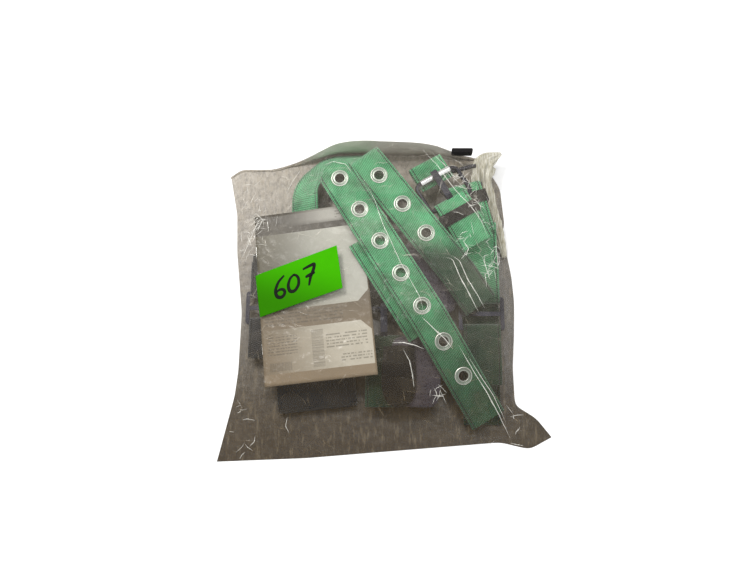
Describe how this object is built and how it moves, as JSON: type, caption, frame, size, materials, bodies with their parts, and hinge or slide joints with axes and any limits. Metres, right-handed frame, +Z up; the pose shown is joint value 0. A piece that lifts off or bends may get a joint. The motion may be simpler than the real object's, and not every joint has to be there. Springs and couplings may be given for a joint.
{
  "type": "safety harness",
  "caption": "Full-body safety harness folded flat with eyelet leg straps, buckles and pads, packed with its booklet in a clear labelled bag.",
  "frame": {"origin": "middle of the packed bag's footprint on the surface that it lies on", "axes": "+X to the pack's right seen from above, +Y towards the bag's gathered mouth, +Z up, off the surface"},
  "size_m": [0.388, 0.3801, 0.06],
  "materials": {
    "green_webbing": "woven polyester webbing with dark edge lines",
    "dark_webbing": "woven black webbing",
    "black_padding": "dull black spacer mesh",
    "pouch_fabric": "black coated fabric",
    "black_elastic": "matte elastic",
    "black_plastic": "moulded, satin",
    "eyelet_steel": "plated, satin",
    "washer_steel": "plated",
    "forged_steel": "zinc plated",
    "adjuster_steel": "zinc plated, stamped",
    "cover_paper": "grey printed cover with white panels",
    "page_paper": "uncoated",
    "staple_wire": "wire",
    "neon_label": "fluorescent green, satin",
    "clear_film": "clear crumpled polyethylene",
    "smoky_film": "polyethylene, taupe",
    "gathered_film": "twisted polyethylene"
  },
  "bodies": {
    "pack": {"back_strap": "dark_webbing", "bag_back_film": "smoky_film", "bag_front_film": "clear_film", "bag_gathered_neck": "gathered_film", "booklet_cover": "cover_paper", "booklet_pages": "page_paper", "booklet_staples": "staple_wire", "buckle_strap_left": "green_webbing", "buckle_strap_right": "green_webbing", "chest_strap_left": "green_webbing", "chest_strap_right": "green_webbing", "dorsal_pad": "black_padding", "label_pouch": "pouch_fabric", "lanyard_keeper_left": "black_plastic", "lanyard_keeper_right": "black_plastic", "leg_pad": "black_padding", "leg_strap_left": "green_webbing", "leg_strap_left_eyelets": "eyelet_steel", "leg_strap_left_washers": "washer_steel", "leg_strap_right": "green_webbing", "leg_strap_right_eyelets": "eyelet_steel", "leg_strap_right_washers": "washer_steel", "lot_label": "neon_label", "shoulder_pad_left": "black_padding", "shoulder_pad_right": "black_padding", "shoulder_strap_left": "green_webbing", "shoulder_strap_right": "green_webbing", "side_strap_left": "dark_webbing", "sub_pelvic_strap": "dark_webbing", "torso_adjuster_left_frame": "adjuster_steel", "torso_adjuster_right_frame": "adjuster_steel", "torso_strap_left": "dark_webbing", "torso_strap_right": "green_webbing", "waist_strap": "green_webbing"},
    "dorsal_ring": {"dorsal_d_ring": "forged_steel"},
    "right_buckle_frame": {"tongue_buckle_right_frame": "forged_steel"},
    "right_buckle_prong": {"tongue_buckle_right_prong": "forged_steel"},
    "right_buckle_roller": {"tongue_buckle_right_roller": "forged_steel"},
    "left_buckle_frame": {"tongue_buckle_left_frame": "forged_steel"},
    "left_buckle_prong": {"tongue_buckle_left_prong": "forged_steel"},
    "left_buckle_roller": {"tongue_buckle_left_roller": "forged_steel"},
    "right_slide_bar": {"torso_adjuster_right_slide_bar": "adjuster_steel"},
    "left_slide_bar": {"torso_adjuster_left_slide_bar": "adjuster_steel"},
    "chest_ring": {"chest_link": "forged_steel"},
    "chest_web_keeper": {"chest_keeper": "black_elastic"},
    "buckle_web_keeper": {"buckle_keeper_right": "black_elastic"},
    "pouch_flap": {"label_pouch_flap": "pouch_fabric"}
  },
  "joints": [
    {"name": "dorsal_ring_tilt", "type": "hinge", "parent": "pack", "child": "dorsal_ring", "pos_m": [-0.0349, 0.038, 0.0228], "axis": [1, 0, 0], "range_deg": [0, 8]},
    {"name": "right_buckle_tilt", "type": "hinge", "parent": "pack", "child": "right_buckle_frame", "pos_m": [0.081, 0.11591, 0.042], "axis": [0.866, 0.5, 0], "range_deg": [0, 4]},
    {"name": "right_prong_lift", "type": "hinge", "parent": "right_buckle_frame", "child": "right_buckle_prong", "pos_m": [0.081, 0.11591, 0.042], "axis": [0.866, 0.5, 0], "range_deg": [0, 4]},
    {"name": "right_roller_spin", "type": "hinge", "parent": "right_buckle_frame", "child": "right_buckle_roller", "pos_m": [0.062, 0.14882, 0.042], "axis": [-0.866, -0.5, 0], "continuous": true},
    {"name": "left_buckle_tilt", "type": "hinge", "parent": "pack", "child": "left_buckle_frame", "pos_m": [0, -0.048, 0.0184], "axis": [1, 0, 0], "range_deg": [0, 6]},
    {"name": "left_prong_lift", "type": "hinge", "parent": "left_buckle_frame", "child": "left_buckle_prong", "pos_m": [0, -0.048, 0.0184], "axis": [1, 0, 0], "range_deg": [0, 4]},
    {"name": "left_roller_spin", "type": "hinge", "parent": "left_buckle_frame", "child": "left_buckle_roller", "pos_m": [0, -0.01, 0.0184], "axis": [-1, 0, 0], "continuous": true},
    {"name": "right_bar_slide", "type": "slide", "parent": "pack", "child": "right_slide_bar", "axis": [0, -1, 0], "range_m": [-0.004, 0.004]},
    {"name": "left_bar_slide", "type": "slide", "parent": "pack", "child": "left_slide_bar", "axis": [0, -1, 0], "range_m": [-0.004, 0.004]},
    {"name": "chest_link_tilt", "type": "hinge", "parent": "pack", "child": "chest_ring", "pos_m": [0.09717, 0.13901, 0.026], "axis": [-0.9613, -0.2756, 0], "range_deg": [0, 9]},
    {"name": "chest_keeper_slide", "type": "slide", "parent": "pack", "child": "chest_web_keeper", "axis": [0.2756, -0.9613, 0], "range_m": [-0.004, 0]},
    {"name": "buckle_keeper_slide", "type": "slide", "parent": "pack", "child": "buckle_web_keeper", "axis": [0.5, -0.866, 0], "range_m": [-0.004, 0]},
    {"name": "pouch_flap_lift", "type": "hinge", "parent": "pack", "child": "pouch_flap", "pos_m": [0.017, -0.06, 0.0369], "axis": [-1, 0, 0], "range_deg": [0, 10]}
  ]
}
